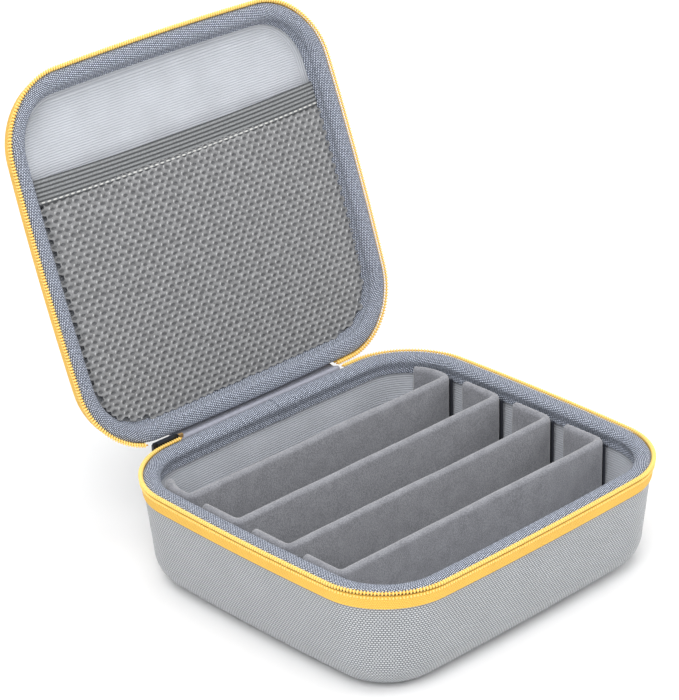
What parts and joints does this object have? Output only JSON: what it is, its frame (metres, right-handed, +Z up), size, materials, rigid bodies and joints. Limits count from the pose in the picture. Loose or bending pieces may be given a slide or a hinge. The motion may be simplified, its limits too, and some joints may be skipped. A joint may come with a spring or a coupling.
{
  "type": "multi glasses organizer",
  "caption": "Zipped semi-hard eyewear case with a hinged lid, a mesh lid pocket and padded lift-out dividers.",
  "frame": {"origin": "centre of the flat underside", "axes": "+X along the hinge, to the right seen from the front; +Y from the front wall to the hinge; +Z up"},
  "size_m": [0.1994, 0.2552, 0.2249],
  "materials": {
    "ballistic": "ribbed woven nylon, slight sheen",
    "foam": "moulded foam board",
    "lining": "ribbed loop knit",
    "binding": "salt-and-pepper woven band",
    "zipper": "satin",
    "slider": "satin",
    "strip": "smooth woven",
    "felt": "brushed velour",
    "board": "matte",
    "hook": "hook tape",
    "mesh": "open net",
    "elastic": "ribbed elastic",
    "stop": "satin"
  },
  "bodies": {
    "base": {"base_outer_fabric": "ballistic", "base_foam_shell": "foam", "base_lining": "lining", "base_binding": "binding", "base_zipper_tape": "zipper", "base_zipper_coil": "zipper", "hinge_strip": "strip", "zipper_end_stop": "stop"},
    "lid": {"lid_outer_fabric": "ballistic", "lid_foam_shell": "foam", "lid_lining": "lining", "lid_binding": "binding", "lid_zipper_tape": "zipper", "lid_zipper_coil": "zipper", "pocket_mesh": "mesh", "pocket_elastic": "elastic"},
    "slider": {"zipper_slider": "slider"},
    "pull": {"slider_pull": "slider"},
    "divider_1": {"divider_1_cover": "felt", "divider_1_core": "board", "divider_1_hook_left": "hook", "divider_1_hook_right": "hook"},
    "divider_2": {"divider_2_cover": "felt", "divider_2_core": "board", "divider_2_hook_left": "hook", "divider_2_hook_right": "hook"},
    "divider_3": {"divider_3_cover": "felt", "divider_3_core": "board", "divider_3_hook_left": "hook", "divider_3_hook_right": "hook"},
    "divider_4": {"divider_4_cover": "felt", "divider_4_core": "board", "divider_4_hook_left": "hook", "divider_4_hook_right": "hook"}
  },
  "joints": [
    {"name": "lid_hinge", "type": "hinge", "parent": "base", "child": "lid", "pos_m": [0, 0.0909, 0.054], "axis": [-1, 0, 0], "range_deg": [-109.7, 25], "deforming": ["hinge_strip"]},
    {"name": "slider_travel", "type": "hinge", "parent": "base", "child": "slider", "pos_m": [-0.062, 0.0543, 0.05535], "axis": [0, 0, 1], "range_deg": [0, 88]},
    {"name": "pull_swing", "type": "hinge", "parent": "slider", "child": "pull", "pos_m": [-0.06025, 0.09436, 0.0478], "axis": [1, 0, 0], "range_deg": [0, 35]},
    {"name": "divider_1_lift", "type": "slide", "parent": "base", "child": "divider_1", "axis": [0, 0, 1], "range_m": [0, 0.07]},
    {"name": "divider_2_lift", "type": "slide", "parent": "base", "child": "divider_2", "axis": [0, 0, 1], "range_m": [0, 0.07]},
    {"name": "divider_3_lift", "type": "slide", "parent": "base", "child": "divider_3", "axis": [0, 0, 1], "range_m": [0, 0.07]},
    {"name": "divider_4_lift", "type": "slide", "parent": "base", "child": "divider_4", "axis": [0, 0, 1], "range_m": [0, 0.07]}
  ]
}
